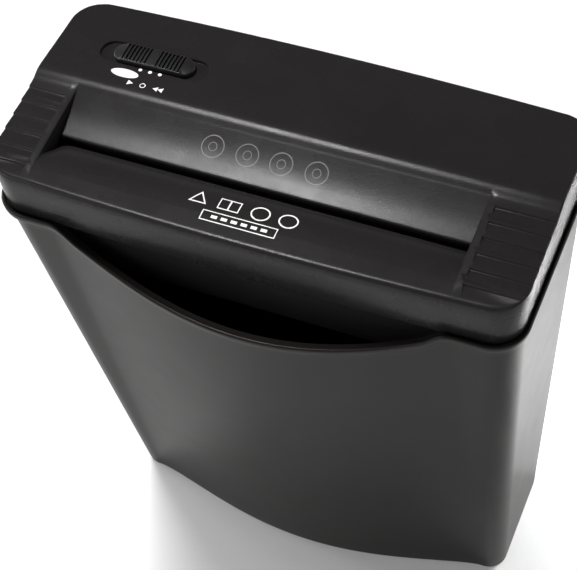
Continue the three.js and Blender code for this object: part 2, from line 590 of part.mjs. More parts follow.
function addFrame() {
  const holes = [[REAR, BUSH.body + GAP], [FRONT, BUSH.body + GAP]];
  add('left_side_plate', sidePlate(PLATE.left, holes), 'steel');
  add('right_side_plate', sidePlate(PLATE.right, [...holes, [SLOW, PIN + GAP], [FAST, PIN + GAP], [MOTOR, 8.5]]),
    'steel');
  add('gear_cover_plate', gearPlate(), 'steel');
  for (const [name, centre] of [['rear', REAR], ['front', FRONT]]) {
    add(`${name}_left_bush`, bush(centre, PLATE.left, -1), 'bronze');
    add(`${name}_right_bush`, bush(centre, PLATE.right, -1), 'bronze');
  }
  add('slow_gear_pin', barX(SLOW, PIN, PLATE.right - 0.4, GEAR_PLATE_X + 1.6), 'steel');
  add('fast_gear_pin', barX(FAST, PIN, PLATE.right - 0.4, GEAR_PLATE_X + 1.6), 'steel');
  const [x0, x1] = [PLATE.left + PLATE.thick + GAP, PLATE.right - GAP];
  add('front_tie_rod', barX({ y: -46, z: 306 }, 2.5, x0, x1, 12), 'steel');
  add('rear_tie_rod', barX({ y: 4, z: 270 }, 2.5, x0, x1, 12), 'steel');
  const window = box(LEVER.x - 3, LEVER.x + 3, -30, -20, 306, 330);
  add('front_paper_guide', paperGuide(-33.2, -32.7, window), 'steel');
  add('rear_paper_guide', paperGuide(-25.8, -26.3, window), 'steel');
}

function addCutters() {
  add('rear_cutter', cutterShaft(REAR, 0, PLATE.left - 4, GEAR_PLATE_X + 1), 'cutter');
  add('front_cutter', cutterShaft(FRONT, CUT.pitch, PLATE.left - 4, PLANE[0] + FACE + 0.4), 'cutter');
  add('rear_sync_gear', wheelOnShaft(REAR, TEETH.sync, MODULE.sync, PHASE.rear, 0), 'steel');
  add('front_sync_gear', wheelOnShaft(FRONT, TEETH.sync, MODULE.sync, PHASE.front, 0), 'steel');
  add('final_gear', wheelOnShaft(REAR, TEETH.final, MODULE.slow, PHASE.final, 2), 'steel');
  add('slow_idler_gear', compoundGear(SLOW,
    { teeth: TEETH.slowWheel, module: MODULE.mid, phase: PHASE.slowWheel, plane: 1 },
    { teeth: TEETH.slowPinion, module: MODULE.slow, phase: PHASE.slowPinion, plane: 2 }), 'gear');
  add('fast_idler_gear', compoundGear(FAST,
    { teeth: TEETH.fastWheel, module: MODULE.fast, phase: PHASE.fastWheel, plane: 0 },
    { teeth: TEETH.midPinion, module: MODULE.mid, phase: PHASE.midPinion, plane: 1 }), 'gear');
  add('front_stripper_comb', stripperComb(FRONT, CUT.pitch, -1), 'dark');
  add('rear_stripper_comb', stripperComb(REAR, 0, 1), 'dark');
}

function addMotor() {
  add('stator_core', statorCore(), 'core');
  add('upper_field_coil', fieldCoil(1), 'copper');
  add('lower_field_coil', fieldCoil(-1), 'copper');
  add('pinion_end_bracket', endBracket(94, 99), 'steel');
  add('fan_end_bracket', endBracket(38, 42), 'steel');
  add('motor_rotor', motorRotor(), 'core');
  add('motor_pinion', motorPinion(), 'steel');
  add('motor_fan', fan(), 'dark');
  for (const [name, s] of [['front', -1], ['rear', 1]]) {
    add(`${name}_brush_holder`, box(45, 51, MOTOR.y + s * 10 - 4, MOTOR.y + s * 10 + 4, MOTOR.z - 2.5,
      MOTOR.z + 2.5), 'bronze');
  }
}

function addControls() {
  add('mode_switch_knob', modeKnob(), 'knob');
  add('mode_switch_body', switchBody(), 'dark');
  add('start_lever', startLever(), 'dark');
  add('start_lever_bracket', leverBracket(), 'steel');
  add('start_lever_pin', barX(LEVER, 1, LEVER.x - 6, LEVER.x + 6, 10), 'steel');
  add('paper_switch', paperSwitch(), 'dark');
  add('interlock_plunger', interlockPlunger(), 'knob');
  add('interlock_switch', box(PLUNGER.x - 5.2, PLUNGER.x + 4, PLUNGER.y - 4, PLUNGER.y + 4, RIM_Z - 4.4, RIM_Z + 6),
    'dark');
  add('control_board', controlBoard(), 'board');
  add('thermal_cutout', box(10, 24, 42, 50, 292, 304), 'dark');
  add('motor_lead', lead([[-60, 48.5, 292], [-30, 44, 280], [0, 30, 274], [30, 24, 280], [44, 20, 290]], 1.4), 'lead');
  add('switch_lead', lead([[-66, 28, 304.5], [-62, 30, 310], [-60, 30, 316], [-62.4, 28, 322]], 1.2), 'lead');
}

addHousing();
addFrame();
addCutters();
addMotor();
addControls();

export default group;
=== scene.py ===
import json
import math

import bmesh
import bpy
from mathutils import Matrix, Vector
from mathutils.geometry import delaunay_2d_cdt

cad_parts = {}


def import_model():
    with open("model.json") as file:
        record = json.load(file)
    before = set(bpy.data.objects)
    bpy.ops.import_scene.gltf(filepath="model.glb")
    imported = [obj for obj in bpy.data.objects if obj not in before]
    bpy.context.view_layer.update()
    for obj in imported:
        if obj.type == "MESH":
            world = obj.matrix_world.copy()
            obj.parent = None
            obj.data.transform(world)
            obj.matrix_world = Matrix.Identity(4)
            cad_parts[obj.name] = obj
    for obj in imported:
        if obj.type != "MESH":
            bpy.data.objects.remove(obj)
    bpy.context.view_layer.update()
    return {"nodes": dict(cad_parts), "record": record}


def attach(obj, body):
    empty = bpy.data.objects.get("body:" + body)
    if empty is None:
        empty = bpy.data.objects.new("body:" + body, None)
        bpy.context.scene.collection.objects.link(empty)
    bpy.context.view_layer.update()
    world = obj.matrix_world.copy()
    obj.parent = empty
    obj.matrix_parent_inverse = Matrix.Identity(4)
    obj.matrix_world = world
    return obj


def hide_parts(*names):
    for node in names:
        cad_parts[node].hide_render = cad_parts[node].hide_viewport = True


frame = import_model()

# Lengths below are in millimetres, as in the CAD source, and become metres when a mesh is made.
# Only the two merging distances, the floor, the lights and the camera's clipping are in metres.
MM = 0.001
MERGE_WITHIN, SLIVER = 0.00001, 0.000004
HEAD = {"half": 139.9, "front": -62.6, "back": 57.8, "radius": 16.0}
HEAD_BOW, HEAD_LOW_BOW, HEAD_DRAFT = 3.7, 1.9, 1.8
HEAD_FOOT, HEAD_FULL, HEAD_TOP_Z = 300.3, 326.0, 338.0
WALL = 2.4
THROAT = (-114.7, 105.3)                           # its two ends, in x
THROAT_FRONT, THROAT_BACK = -58.0, 6.0             # where its rows begin and end, in y
SLOT = (-32.0, -27.0)                              # the front and rear lips of the slot, in y
LIP_FALL, LIP_FALL_REACH = 5.5, 11.0               # the front lip dips at the throat's left end
EDGE_ROUND, FRONT_ROLL_SPAN, FRONT_ROLL_DROP = 0.9, 2.4, 0.9
RIB_FIRST, RIB_PITCH, RIB_COUNT, RIB_DROP, RIB_INSET = -8.0, 9.2, 6, 0.9, 4.0
RIM, LIP, BIN_WALL, LEDGE = 300.0, 303.0, 2.5, 1.3
BIN_TOP = {"half": 138.0, "front": -62.5, "back": 60.8, "radius": 16.0}
BIN_FOOT = {"half": 120.6, "front": -17.5, "back": 57.5, "radius": 11.0}
FLANGE, BAND = 2.6, 4.6
BIN_BOW, BIN_BOW_HALF, BACK_BOW, SCOOP, SCOOP_HALF = 19.5, 108.0, 2.0, 26.0, 106.0
SWITCH = (-84.5, 26.5)
RECESS = (30.5, 7.6, 335.6)
KNOB_HALF, KNOB_RADIUS, KNOB_FOOT, KNOB_TOP = 22.5, 6.0, 335.9, 339.75
KNOB_STEM = (3.0, 1.8, 329.7)
GROOVE_COUNT, GROOVE_FIRST, GROOVE_PITCH, GROOVE_WIDTH, GROOVE_DEPTH = 7, 2.5, 2.1, 1.15, 1.15
KNOB_PAD = 17.4                                    # half length of the grooved pad


# ---------------------------------------------------------------- small tools

def smooth(a, b, v):
    t = min(1.0, max(0.0, (v - a) / (b - a)))
    return t * t * (3 - 2 * t)


def curve(points):
    """A monotone cubic through (y, z) points."""
    ys, zs = zip(*points)
    steps = [(zs[i + 1] - zs[i]) / (ys[i + 1] - ys[i]) for i in range(len(ys) - 1)]
    slopes = [steps[0]]
    for a, b in zip(steps, steps[1:]):
        slopes.append(0.0 if a * b <= 0 else 2 * a * b / (a + b))
    slopes.append(steps[-1])

    def at(y):
        y = min(max(y, ys[0]), ys[-1])
        i = max(k for k in range(len(ys) - 1) if ys[k] <= y)
        h = ys[i + 1] - ys[i]
        t = (y - ys[i]) / h
        return ((1 + 2 * t) * (1 - t) ** 2 * zs[i] + t * (1 - t) ** 2 * h * slopes[i]
                + t * t * (3 - 2 * t) * zs[i + 1] + t * t * (t - 1) * h * slopes[i + 1])
    return at


def make(name, verts, faces, body, material, replaces=(), angle=35):
    """A closed mesh from millimetre vertices, shaded smooth below an angle, riding on a CAD body."""
    bm = bmesh.new()
    points = [bm.verts.new(Vector(v) * MM) for v in verts]
    for f in faces:
        if len(set(f)) > 2:
            try:
                bm.faces.new([points[i] for i in f])
            except ValueError:
                pass
    bmesh.ops.remove_doubles(bm, verts=bm.verts, dist=MERGE_WITHIN)
    bmesh.ops.dissolve_degenerate(bm, edges=bm.edges, dist=SLIVER)
    bmesh.ops.delete(bm, geom=[v for v in bm.verts if not v.link_faces], context="VERTS")
    bmesh.ops.recalc_face_normals(bm, faces=bm.faces)
    if bm.calc_volume(signed=True) < 0:
        bmesh.ops.reverse_faces(bm, faces=bm.faces)
    limit = math.radians(angle)
    for f in bm.faces:
        f.smooth = True
    for e in bm.edges:
        e.smooth = len(e.link_faces) == 2 and e.calc_face_angle(0.0) < limit
    mesh = bpy.data.meshes.new(name)
    bm.to_mesh(mesh)
    bm.free()
    obj = bpy.data.objects.new(name, mesh)
    bpy.context.scene.collection.objects.link(obj)
    mesh.materials.append(material)
    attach(obj, body)
    if replaces:
        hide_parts(*replaces)
    return obj


def bridge(a, b):
    """Quads between two closed loops of vertex indices of the same length."""
    n = len(a)
    return [(a[i], a[(i + 1) % n], b[(i + 1) % n], b[i]) for i in range(n)]


def strip(n, a, b):
    """Quads between two loops of n vertices that start at index a and b."""
    return bridge(range(a, a + n), range(b, b + n))


def surface(loops, lines, height):
    """A height field inside the first loop and outside the others, through every line.

    Returns its vertices, its faces and, for each loop, the vertices on it in order."""
    points, edges = [], []
    for loop in loops:
        start = len(points)
        points += [Vector(p) for p in loop]
        edges += [(start + i, start + (i + 1) % len(loop)) for i in range(len(loop))]
    for line in lines:
        start = len(points)
        points += [Vector(p) for p in line]
        edges += [(start + i, start + i + 1) for i in range(len(line) - 1)]
    verts, _, faces, origin, _, _ = delaunay_2d_cdt(points, edges, [], 1, 1e-4)
    where = {}
    for index, sources in enumerate(origin):
        for s in sources:
            where[s] = index
    rims, at = [], 0
    for loop in loops:
        rims.append([where[at + i] for i in range(len(loop))])
        at += len(loop)
    holes = loops[1:]

    def inside(poly, x, y):
        hit = False
        for (xa, ya), (xb, yb) in zip(poly, poly[1:] + poly[:1]):
            if (ya > y) != (yb > y) and x < (xb - xa) * (y - ya) / (yb - ya) + xa:
                hit = not hit
        return hit
    kept = []
    for f in faces:
        cx = sum(verts[i][0] for i in f) / len(f)
        cy = sum(verts[i][1] for i in f) / len(f)
        if not any(inside(h, cx, cy) for h in holes):
            kept.append(tuple(f))
    return [(v[0], v[1], height(v[0], v[1])) for v in verts], kept, rims


# ---------------------------------------------------------------- materials

def plastic(name, colour, rough, grain=0.25, scale=1500.0, spread=0.06, tint=(1.0, 1.0, 1.0), specular=0.5,
            metallic=0.0, mottle=0.25, coat=0.0):
    """A moulded or plain metal finish: fine grain, slightly uneven gloss and colour."""
    mat = bpy.data.materials.new(name)
    mat.use_nodes = True
    nodes, links = mat.node_tree.nodes, mat.node_tree.links
    bsdf = nodes["Principled BSDF"]
    bsdf.inputs["Metallic"].default_value = metallic
    bsdf.inputs["Specular IOR Level"].default_value = specular
    if coat:
        bsdf.inputs["Coat Weight"].default_value = coat
        bsdf.inputs["Coat Roughness"].default_value = 0.3
    place = nodes.new("ShaderNodeTexCoord")

    def noise(size, detail, roughness=0.5):
        n = nodes.new("ShaderNodeTexNoise")
        n.inputs["Scale"].default_value = size
        n.inputs["Detail"].default_value = detail
        n.inputs["Roughness"].default_value = roughness
        links.new(place.outputs["Object"], n.inputs["Vector"])
        return n.outputs["Fac"]

    def ranged(value, low, high, a=0.3, b=0.7):
        m = nodes.new("ShaderNodeMapRange")
        m.inputs["From Min"].default_value, m.inputs["From Max"].default_value = a, b
        m.inputs["To Min"].default_value, m.inputs["To Max"].default_value = low, high
        links.new(value, m.inputs["Value"])
        return m.outputs["Result"]
    fine = noise(scale, 3.0)
    broad = noise(14.0, 2.0)
    mix = nodes.new("ShaderNodeMix")
    mix.data_type = "RGBA"
    dark = [c * (1 - mottle) for c in colour]
    light = [min(1.0, c * (1 + mottle) * t) for c, t in zip(colour, tint)]
    mix.inputs["A"].default_value = (*dark, 1)
    mix.inputs["B"].default_value = (*light, 1)
    both = nodes.new("ShaderNodeMath")
    both.operation = "MULTIPLY_ADD"
    both.inputs[1].default_value = 0.5
    links.new(fine, both.inputs[0])
    half = nodes.new("ShaderNodeMath")
    half.operation = "MULTIPLY"
    half.inputs[1].default_value = 0.5
    links.new(broad, half.inputs[0])
    links.new(half.outputs[0], both.inputs[2])
    links.new(ranged(both.outputs[0], 0.0, 1.0), mix.inputs["Factor"])
    links.new(mix.outputs["Result"], bsdf.inputs["Base Color"])
    uneven = noise(60.0, 4.0)
    links.new(ranged(uneven, rough - spread, rough + spread), bsdf.inputs["Roughness"])
    bump = nodes.new("ShaderNodeBump")
    bump.inputs["Strength"].default_value = grain
    bump.inputs["Distance"].default_value = 0.0002
    links.new(fine, bump.inputs["Height"])
    links.new(bump.outputs["Normal"], bsdf.inputs["Normal"])
    return mat


COVER = plastic("cover_black", (0.0142, 0.0130, 0.0132), 0.27, grain=0.24, scale=1300.0, spread=0.03,
                specular=0.115, mottle=0.15)
BIN = plastic("bin_black", (0.0104, 0.0092, 0.0089), 0.35, grain=0.12, scale=900.0, spread=0.01,
              tint=(1.0, 0.97, 0.95), specular=0.1, mottle=0.1)
KNOB = plastic("knob_black", (0.009, 0.009, 0.0095), 0.36, grain=0.2, scale=1600.0, specular=0.3)
INNER = plastic("inner_black", (0.01, 0.01, 0.0105), 0.5, grain=0.4, scale=900.0, specular=0.25)
PRINT = plastic("white_print", (0.78, 0.78, 0.77), 0.5, grain=0.2, scale=2500.0, mottle=0.06)
FAINT = plastic("grey_print", (0.13, 0.13, 0.125), 0.5, grain=0.2, scale=2500.0, mottle=0.1)
GEAR = plastic("acetal", (0.7, 0.67, 0.58), 0.4, grain=0.15, scale=700.0, mottle=0.05)
# The paper guides are near black in place of their plate steel: painted shade for the dark inside of the slot.
GUIDE_PAINTED_SHADE = plastic("guide_painted_shade", (0.004, 0.004, 0.004), 0.6, grain=0.3, scale=900.0, specular=0.1)
ZINC = plastic("zinc_plate", (0.56, 0.57, 0.58), 0.32, grain=0.15, scale=500.0, spread=0.1,
               metallic=0.9, mottle=0.1)
HARD = plastic("cutter_steel", (0.36, 0.36, 0.37), 0.28, grain=0.2, scale=420.0, spread=0.1,
               metallic=0.95, mottle=0.15)
BRONZE = plastic("sintered_bronze", (0.5, 0.31, 0.13), 0.42, grain=0.6, scale=2200.0,
                 metallic=0.8, mottle=0.2)
COPPER = plastic("varnished_copper", (0.45, 0.14, 0.05), 0.3, grain=0.5, scale=800.0,
                 metallic=0.7, mottle=0.2, coat=0.4)
CORE = plastic("lamination_steel", (0.16, 0.165, 0.17), 0.45, grain=0.5, scale=900.0,
               metallic=0.8, mottle=0.2)
BOARD = plastic("epoxy_board", (0.03, 0.12, 0.05), 0.4, grain=0.3, scale=1200.0, mottle=0.2)
LEAD = plastic("pvc_lead", (0.2, 0.012, 0.01), 0.45, grain=0.2, scale=1500.0, mottle=0.1)
SLOTS = {"cover_plastic": COVER, "bin_plastic": BIN, "knob_plastic": KNOB, "inner_plastic": INNER,
         "gear_plastic": GEAR, "plate_steel": ZINC, "cutter_steel": HARD, "bush_bronze": BRONZE,
         "coil_copper": COPPER, "core_steel": CORE, "board_fibre": BOARD, "lead_pvc": LEAD}


# ---------------------------------------------------------------- the head's cover

NOSE = [(-70, 330.4), (-64, 331.0), (-59, 331.45), (-54, 331.8)]
CREST = [(0.5, 337.6), (3, 338.25), (6, 338.4), (10, 338.25),
         (30, 337.2), (50, 336.4), (57, 335.9), (66, 335.2)]
CHEEK = curve(NOSE[:-1] + [(-54, 332.1), (-31, 333.95), (-8, 335.75), (-3.4, 336.25), (-2, 336.6)] + CREST)
DECK = curve(NOSE + [(-48, 331.9), (-42, 331.4), (-37, 330.1), (-33.4, 328.3), (-32, 327.2)])
SLOPE = curve([(-27, 326.5), (-26.4, 326.95), (-24, 327.65), (-20, 328.85), (-15, 330.65), (-10, 332.75),
               (-5.5, 334.8), (-2, 336.44)] + CREST)
EDGE_LINES = ((-0.35, 0.0), (-0.12, 0.12), (0.0, 0.4))     # (distance from a cheek's inner edge, drop)


def stepped(y):
    """How far a cheek lies under its slope at y, on one of its steps."""
    for i in range(RIB_COUNT):
        edge = RIB_FIRST - i * RIB_PITCH
        if edge - RIB_PITCH + 0.8 <= y < edge + 0.2:
            if y > edge - 0.4:
                return RIB_DROP * smooth(0, 1, (edge + 0.2 - y) / 0.6)
            return RIB_DROP * (1 - (edge - 0.4 - y) / (RIB_PITCH - 1.2))
    return 0.0


def stadium(half, radius, steps=14):
    """A long rounded outline centred on the switch, counter-clockwise."""
    cx, cy = SWITCH
    loop = []
    for side, start in ((1, -90), (-1, 90)):
        for k in range(steps + 1):
            t = math.radians(start + 180 * k / steps)
            loop.append((cx + side * (half - radius) + radius * math.cos(t), cy + radius * math.sin(t)))
    return loop


def stadium_gap(x, y, half, radius):
    """Distance outside a stadium round the switch, negative inside."""
    dx = max(0.0, abs(x - SWITCH[0]) - (half - radius))
    return math.hypot(dx, y - SWITCH[1]) - radius


def cover_height(x, y):
    """Height of the cover's top: the slope and deck of the throat, the cheeks beside it, the switch recess."""
    left, right = THROAT
    if left + 0.05 < x < right - 0.05 and THROAT_FRONT < y < THROAT_BACK:
        if y <= SLOT[0] + 0.01:
            fall = LIP_FALL * max(0.0, 1 - (x - left) / LIP_FALL_REACH) ** 2 * smooth(-47, -34, y)
            return DECK(y) - fall
        return min(SLOPE(y), CHEEK(y))
    over = max(left - x, x - right)          # distance outside the throat
    z = CHEEK(y)
    inner = DECK(y) if y < SLOT[0] else SLOPE(max(y, SLOT[1]))
    for distance, drop in EDGE_LINES:
        if abs(over + distance) < 0.02:
            z -= min(drop, max(0.0, z - inner))
    if over > RIB_INSET + 0.1:
        z -= stepped(y)
    gap = stadium_gap(x, y, RECESS[0], RECESS[1])
    if gap < -0.3:
        return RECESS[2]
    if gap < -0.08:
        return z - 0.3
    return z


def head_ring(places, z, inset):
    """A horizontal ring of the head: places says where each point lies round it."""
    half, front, back, r = HEAD["half"], HEAD["front"], HEAD["back"], HEAD["radius"]
    rise = min(1.0, max(0.0, (z - RIM) / (HEAD_FULL - RIM)))
    bow = HEAD_LOW_BOW + (HEAD_BOW - HEAD_LOW_BOW) * rise
    ring = []
    for k, (kind, value) in enumerate(places):
        own = inset[k] if isinstance(inset, list) else inset
        x, y = edge_point(kind, value, half, front, back, r, own)
        stand = bow * max(0.0, 1 - (x / half) ** 2)
        ring.append((x, y - stand if y < (front + back) / 2 else y + stand))
    return ring


def edge_point(kind, value, half, front, back, r, inset):
    if kind == "front":
        return value, front + inset
    if kind == "back":
        return value, back - inset
    if kind == "right":
        return half - inset, value
    if kind == "left":
        return -half + inset, value
    cx = half - r if kind in ("fr", "br") else -half + r
    cy = front + r if kind in ("fl", "fr") else back - r
    return cx + (r - inset) * math.cos(value), cy + (r - inset) * math.sin(value)


def spaced(a, b, n):
    return [a + (b - a) * i / n for i in range(n + 1)]


def round_points(size, side_rows, corner_rows, steps=14, long_steps=56):
    """Where the points of a ring lie, counter-clockwise from the front left corner."""
    half, front, back, r = size["half"], size["front"], size["back"], size["radius"]
    inner = half - r

    def corner(kind, start):
        angles = {start + math.pi / 2 * i / steps for i in range(1, steps)}
        if kind in ("fl", "fr"):
            for y in corner_rows:
                s = (y - (front + r)) / (r - 1.0)
                if -0.999 < s < -0.01:
                    t = math.asin(s)
                    angles.add(math.pi - t if kind == "fl" else 2 * math.pi + t)
        angles = sorted(angles)
        merged = []
        for t in angles:
            if not merged or t - merged[-1] > 0.004:
                merged.append(t)
        return [(kind, t) for t in merged]
    points = corner("fl", math.pi)
    points += [("front", x) for x in spaced(-inner, inner, long_steps)]
    points += corner("fr", 1.5 * math.pi)
    points += [("right", y) for y in side_rows]
    points += corner("br", 0.0)
    points += [("back", x) for x in spaced(inner, -inner, long_steps)]
    points += corner("bl", 0.5 * math.pi)
    points += [("left", y) for y in reversed(side_rows)]
    return points


ROLL_STEPS = 8
# The head's wall below its rounded edge, as (height, inset).
HEAD_WALL = ((HEAD_FULL, 0.0), (321, 0.35), (313, 0.91), (HEAD_FOOT + 0.8, HEAD_DRAFT - 0.1),
             (HEAD_FOOT + 0.25, HEAD_DRAFT + 0.05), (HEAD_FOOT, HEAD_DRAFT + 0.3),
             (HEAD_FOOT, HEAD_DRAFT + WALL - 0.4), (HEAD_FOOT + 0.4, HEAD_DRAFT + WALL), (320, WALL + 0.5))
THROAT_STEPS = [0.15, 1.5, 3, 4.5, 6, 8, 11]      # distances in from an end of the throat
STEP_OFFSETS = (0.2, 0.05, -0.1, -0.25, -0.4)
STEP_ROWS = [RIB_FIRST - i * RIB_PITCH + d for i in range(RIB_COUNT)
             for d in STEP_OFFSETS + (-RIB_PITCH + 0.8,)]
FORE_ROWS = [-54.5, -52, -50, -48, -46, -42.5, -40.5, -38.5, -37, -34.6, -33.8, -33.1, -32.5, -32.0]
AFT_ROWS = [-27.0, -26.8, -25.5, -24, -22.5, -21, -19.5, -18.6, -15.5, -14, -12.5, -11, -9.8,
            -7, -6, -5, -4, -3, -2, -1, -0.2, 0.6, 1.4, 2.2, 3.0,
            3.8, 4.6, 5.6, 7, 9, 12, 15, 38, 42, 46, 50, 53]


def cover_rows():
    rows = sorted(set(STEP_ROWS + FORE_ROWS + AFT_ROWS))
    kept = []
    for y in rows:
        if not kept or y - kept[-1] > 0.09:
            kept.append(y)
    return kept


def crosses(y):
    """The x of each grid vertex on the row at y, between the cover's two sides."""
    left, right = THROAT
    xs = []
    if THROAT_FRONT < y < THROAT_BACK - 1:
        throat = THROAT_STEPS if y <= SLOT[0] else THROAT_STEPS[:1]
        xs += [left - RIB_INSET - 0.25, left - RIB_INSET] + [left + d for d, _ in EDGE_LINES]
        xs += [left + d for d in throat] + [right - d for d in reversed(throat)]
        xs += [right - d for d, _ in reversed(EDGE_LINES)] + [right + RIB_INSET, right + RIB_INSET + 0.25]
    return xs


def cover_places(rows):
    """Where the points of the head's rings lie: on every row that meets a side or a front corner."""
    front, back = HEAD["front"] + HEAD["radius"], HEAD["back"] - HEAD["radius"]
    side = [front] + [y for y in rows if front + 0.2 < y < back] + [22, 30, back]
    return round_points(HEAD, sorted(set(side)), [y for y in rows if y < front])


def cover_lines(rows, top):
    """The lines that the cover's top follows: its rows, the cheeks' edges and the edge of the switch recess."""
    left, right = THROAT
    lines = []
    for y in rows:
        ends = [p for p in top if abs(p[1] - y) < 0.06]
        lefts = [p for p in ends if p[0] < -100][:1]
        rights = [p for p in ends if p[0] > 100][:1]
        if lefts and rights:
            lines.append(lefts + [(x, y) for x in crosses(y)] + rights)
    columns = [left - RIB_INSET - 0.25, left - RIB_INSET] + [left + d for d, _ in EDGE_LINES] + [left + 0.15]
    for x in columns:
        for column in (x, left + right - x):
            lines.append([(column, y) for y in rows if -56 < y < 4])
    for inset in (0.0, 0.18, 0.35):
        loop = stadium(RECESS[0] - inset, RECESS[1] - inset)
        lines.append(loop + loop[:1])
    return lines


def ceiling_height(x, y):
    """The cover's underside, about a wall's thickness under its top."""
    left, right = THROAT
    z = CHEEK(y) - 1.6 - WALL
    if left - 3 < x < right + 3 and y < 3:
        z = min(z, DECK(y) - WALL - 3 if y < -30 else SLOPE(max(y, SLOT[1])) - WALL)
    if stadium_gap(x, y, RECESS[0] + 2, RECESS[1] + 2) < 0:
        z = RECESS[2] - 2.2
    return z


def head_cover():
    left, right = THROAT
    rows = cover_rows()
    where = cover_places(rows)
    n = len(where)
    outline = [edge_point(*place, *HEAD.values(), 0) for place in where]
    rolled = [smooth(-47, -58, y) * smooth(139, 126, abs(x)) for x, y in outline]
    spans = [EDGE_ROUND + FRONT_ROLL_SPAN * r for r in rolled]
    drops = [EDGE_ROUND + FRONT_ROLL_DROP * r for r in rolled]
    top = head_ring(where, HEAD_TOP_Z, spans)
    heights = [cover_height(x, y) for x, y in top]

    # The top, and the ceiling under the same two openings: the slot, and the hole for the switch's stem.
    slot = [(left + d, SLOT[0]) for d in THROAT_STEPS] + [(right - d, SLOT[0]) for d in reversed(THROAT_STEPS)]
    slot += [(right - 0.15, SLOT[1]), (left + 0.15, SLOT[1])]
    cx, cy = SWITCH
    stem = [(cx - 11, cy - 2.2), (cx + 11, cy - 2.2), (cx + 11, cy + 2.2), (cx - 11, cy + 2.2)]
    verts, faces, rims = surface([top, slot, stem], cover_lines(rows, top), cover_height)
    ceiling_lines = [[(x, y) for x in (-120, left - 3, left - 2.9, right + 2.9, right + 3, 120)]
                     for y in (-50, -45, -40, -36, -24, -20, -14, -8, -2, 3.1, 10, 45)]
    inner_top = head_ring(where, HEAD_TOP_Z, WALL + 0.6)
    ceiling, ceiling_faces, low_rims = surface([inner_top, slot, stem], ceiling_lines, ceiling_height)
    offset = len(verts)
    verts += ceiling
    faces += [tuple(i + offset for i in f) for f in ceiling_faces]

    # Rings over the rounded edge, down the wall, round its foot and up inside.
    rings = []
    for step in range(1, ROLL_STEPS + 1):
        turn = math.pi / 2 * step / ROLL_STEPS
        ring = head_ring(where, HEAD_TOP_Z, [r * (1 - math.sin(turn)) for r in spans])
        rings.append([(x, y, z - r * (1 - math.cos(turn))) for (x, y), z, r in zip(ring, heights, drops)])
    for z, inset in HEAD_WALL:
        rings.append([(x, y, z) for x, y in head_ring(where, z, inset)])
    previous = rims[0]
    for ring in rings:
        now = range(len(verts), len(verts) + n)
        verts += ring
        faces += bridge(previous, now)
        previous = now
    faces += bridge(previous, [i + offset for i in low_rims[0]])
    for upper, lower in zip(rims[1:], low_rims[1:]):
        faces += bridge(upper, [i + offset for i in lower])
    return make("head_cover_shell", verts, faces, "head_body", COVER, ("head_cover",), 32)


head_cover()


# ---------------------------------------------------------------- the bin

def bulge(x):
    return 0.0 if abs(x) >= BIN_BOW_HALF else BIN_BOW * (1 - (x / BIN_BOW_HALF) ** 2) ** 1.4


def scoop_edge(x):
    """Height of the bin's edge at x on its front."""
    u = abs(x) / SCOOP_HALF
    if u >= 1:
        return LIP
    shape = (1 - u * u) ** 0.8 * smooth(0, 1, (1 - u) / 0.13)
    return LIP - (SCOOP + 2.5) * shape


# The bin's section as (height, inset) pairs: round its foot, up its wall, over the proud band along its edge.
FOOT_ROUND = [(0.0, 3.2), (0.0, 2.6), (0.5, 1.4), (1.3, 0.55), (2.4, 0.1), (4.0, 0.0)]
WALL_STEPS = (0.04, 0.08, 0.16, 0.26, 0.36, 0.46, 0.56, 0.66, 0.76, 0.85, 0.92, 0.97)
BAND_FOOT = [(-0.9, 0.0), (-0.45, -0.12), (-0.15, -0.5), (0.0, -1.0), (0.0, 0.45 - FLANGE),
             (0.15, 0.12 - FLANGE), (0.5, -FLANGE)]                          # from the band's underside
BAND_EDGE = [(-1.3, -FLANGE), (-0.75, 0.12 - FLANGE), (-0.3, 0.42 - FLANGE), (-0.06, 0.85 - FLANGE),
             (0.0, 1.3 - FLANGE), (-0.05, 1.7 - FLANGE), (-0.2, 1.98 - FLANGE)]   # from the bin's edge
INSIDE_STEPS = (0.85, 0.7, 0.5, 0.3, 0.15)


def bin_section(x, front):
    """The bin's section at x, from the foot up the outside, over the edge and down inside."""
    edge = scoop_edge(x) if front else LIP
    full = smooth(SCOOP_HALF - 5, SCOOP_HALF, abs(x)) if front else 1.0       # 1 where the ledge is whole
    low = edge - BAND
    rows = FOOT_ROUND + [(4 + (low - 4) * s, 0.0) for s in WALL_STEPS]
    rows += [(low + h, inset) for h, inset in BAND_FOOT] + [(edge + h, inset) for h, inset in BAND_EDGE]
    inner = (2.1 - FLANGE) * full + (BIN_WALL - 0.35) * (1 - full)
    seat = RIM * full + (edge - 0.8) * (1 - full)
    ledge = BIN_WALL + LEDGE * full
    rows += [(edge - 0.5, inner), (seat, inner + 0.05), (seat - 0.05, ledge - 0.3), (seat - 0.3, ledge),
             (seat - 4, ledge), (seat - 9, BIN_WALL)]
    rows += [(7 + (seat - 16) * s, BIN_WALL) for s in INSIDE_STEPS]
    return rows + [(7.0, BIN_WALL), (4.2, BIN_WALL + 0.9), (3.0, BIN_WALL + 3)]


